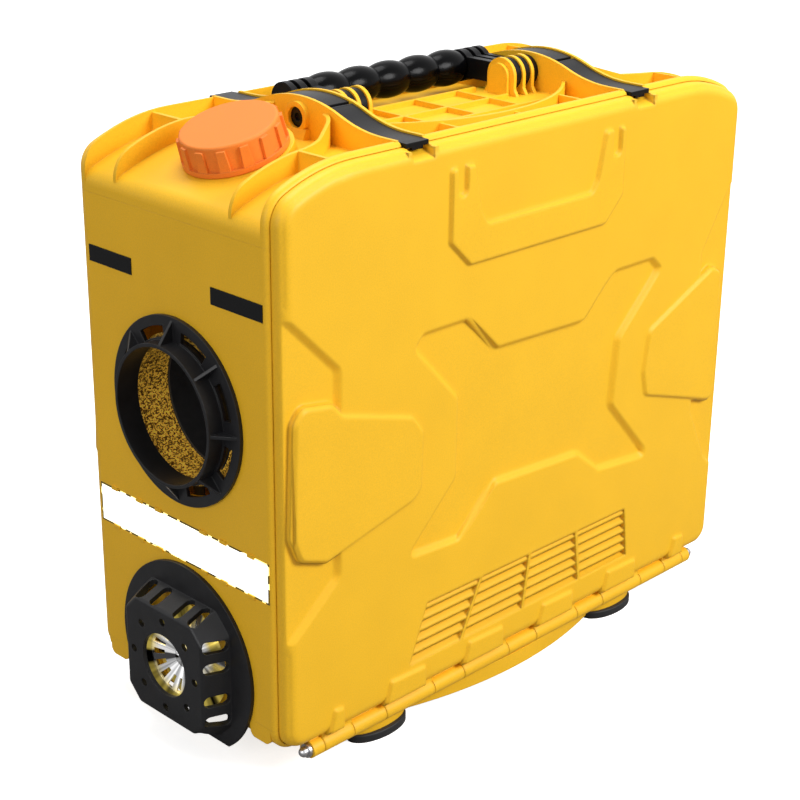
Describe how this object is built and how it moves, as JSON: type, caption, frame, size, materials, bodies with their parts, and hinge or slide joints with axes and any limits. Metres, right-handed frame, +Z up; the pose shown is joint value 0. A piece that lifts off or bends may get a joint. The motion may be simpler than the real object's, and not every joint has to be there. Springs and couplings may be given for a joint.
{
  "type": "portable diesel air heater",
  "caption": "Portable diesel air heater in a yellow carrying case: hinged doors, strap latches, fold-down handle, orange filler cap, hot air spigot, burn guard and light bar.",
  "frame": {"origin": "on the floor under the middle of the whole object's box", "axes": "+X along the case away from the hot air outlet, +Y from the front door to the rear door, +Z up"},
  "size_m": [0.4758, 0.1938, 0.4049],
  "materials": {
    "case_yellow": "fine satin moulded",
    "door_yellow": "fine satin moulded",
    "cap_orange": "satin moulded",
    "duct_yellow": "satin moulded",
    "black_plastic": "satin moulded",
    "gloss_black": "glossy moulded",
    "strap_black": "satin moulded, slightly flexible",
    "rubber_black": "matte rubber",
    "bright_steel": "bright zinc plated",
    "stainless": "polished stainless",
    "cast_aluminium": "as cast",
    "tank_white": "translucent natural polyethylene",
    "opal_lens": "opal, lit from behind",
    "white_tray": "matte white",
    "clear_window": "clear glossy",
    "board_green": "solder mask",
    "shelf_steel": "powder coated",
    "hose_clear": "flexible fuel hose"
  },
  "bodies": {
    "case": {"case_base": "case_yellow", "case_top": "case_yellow", "end_wall_left": "case_yellow", "end_wall_right": "case_yellow", "front_hinge_pin": "bright_steel", "rear_hinge_pin": "bright_steel", "pin_end_caps": "bright_steel", "rubber_feet": "rubber_black", "foot_screws": "bright_steel", "handle_axles": "black_plastic", "latch_saddles": "strap_black", "fuel_tank": "tank_white", "fuel_filter": "clear_window", "fuel_pump": "bright_steel", "pump_mount": "rubber_black", "fuel_hose_upper": "hose_clear", "fuel_hose_lower": "hose_clear", "outlet_ring": "black_plastic", "outlet_duct": "duct_yellow", "heater_casing_upper": "black_plastic", "heater_casing_lower": "black_plastic", "heat_exchanger": "cast_aluminium", "burner": "stainless", "glow_plug": "bright_steel", "blower_housing": "cast_aluminium", "blower_motor": "bright_steel", "inlet_grille": "black_plastic", "heater_shelf": "shelf_steel", "shelf_posts": "shelf_steel", "heater_controller": "black_plastic", "exhaust_pipe": "stainless", "exhaust_muffler": "stainless", "intake_pipe": "black_plastic", "exhaust_guard": "black_plastic", "exhaust_nozzle": "stainless", "light_tray": "white_tray", "light_lens": "opal_lens", "slot_plugs": "gloss_black", "control_panel": "black_plastic", "display_window": "clear_window", "control_board": "board_green", "switch_frame": "black_plastic", "power_inlet": "black_plastic"},
    "front_door": {"front_door": "door_yellow"},
    "rear_door": {"rear_door": "door_yellow"},
    "latch_front_left": {"latch_front_left": "strap_black"},
    "latch_front_right": {"latch_front_right": "strap_black"},
    "latch_rear_left": {"latch_rear_left": "strap_black"},
    "latch_rear_right": {"latch_rear_right": "strap_black"},
    "handle": {"carry_handle": "black_plastic", "handle_grip": "rubber_black"},
    "cap_seal": {"cap_seal": "rubber_black"},
    "filler_cap": {"filler_cap": "cap_orange"},
    "rotor": {"rotor_shaft": "bright_steel", "combustion_impeller": "black_plastic", "hot_air_fan": "black_plastic"},
    "setting_knob": {"setting_knob": "black_plastic"},
    "button_left": {"button_left": "rubber_black"},
    "button_right": {"button_right": "rubber_black"},
    "switch_rocker": {"switch_rocker": "gloss_black"}
  },
  "joints": [
    {"name": "front_door_hinge", "type": "hinge", "parent": "case", "child": "front_door", "pos_m": [0, -0.0885, 0.02], "axis": [1, 0, 0], "range_deg": [0, 90]},
    {"name": "rear_door_hinge", "type": "hinge", "parent": "case", "child": "rear_door", "pos_m": [0, 0.0885, 0.02], "axis": [-1, 0, 0], "range_deg": [0, 90]},
    {"name": "latch_front_left_hinge", "type": "hinge", "parent": "case", "child": "latch_front_left", "pos_m": [-0.10415, -0.024, 0.3976], "axis": [-1, 0, 0], "range_deg": [0, 85]},
    {"name": "latch_rear_left_hinge", "type": "hinge", "parent": "case", "child": "latch_rear_left", "pos_m": [-0.10415, 0.024, 0.3976], "axis": [1, 0, 0], "range_deg": [0, 85]},
    {"name": "latch_front_right_hinge", "type": "hinge", "parent": "case", "child": "latch_front_right", "pos_m": [0.10415, -0.024, 0.3976], "axis": [-1, 0, 0], "range_deg": [0, 85]},
    {"name": "latch_rear_right_hinge", "type": "hinge", "parent": "case", "child": "latch_rear_right", "pos_m": [0.10415, 0.024, 0.3976], "axis": [1, 0, 0], "range_deg": [0, 85]},
    {"name": "handle_hinge", "type": "hinge", "parent": "case", "child": "handle", "pos_m": [0, 0, 0.3915], "axis": [1, 0, 0], "range_deg": [0, 92]},
    {"name": "cap_lift", "type": "slide", "parent": "case", "child": "cap_seal", "axis": [-0.3107, 0, 0.9505], "range_m": [0, 0.008]},
    {"name": "cap_turn", "type": "hinge", "parent": "cap_seal", "child": "filler_cap", "pos_m": [-0.16635, 0, 0.3786], "axis": [-0.3107, 0, 0.9505], "range_deg": [0, 720]},
    {"name": "rotor_spin", "type": "hinge", "parent": "case", "child": "rotor", "pos_m": [0, -0.002, 0.2285], "axis": [1, 0, 0], "continuous": true},
    {"name": "knob_turn", "type": "hinge", "parent": "case", "child": "setting_knob", "pos_m": [0.2209, 0.031, 0.33], "axis": [-1, 0, 0], "range_deg": [0, 300]},
    {"name": "button_left_press", "type": "slide", "parent": "case", "child": "button_left", "axis": [-1, 0, 0], "range_m": [0, 0.001], "stiffness_N_per_m": 400},
    {"name": "button_right_press", "type": "slide", "parent": "case", "child": "button_right", "axis": [-1, 0, 0], "range_m": [0, 0.001], "stiffness_N_per_m": 400},
    {"name": "rocker_tip", "type": "hinge", "parent": "case", "child": "switch_rocker", "pos_m": [0.2149, 0.03, 0.092], "axis": [0, 1, 0], "range_deg": [-16, 0]}
  ],
  "couplings": [
    {"joint": "cap_turn", "follows": "cap_lift", "rad_per_m": 1570.8}
  ]
}
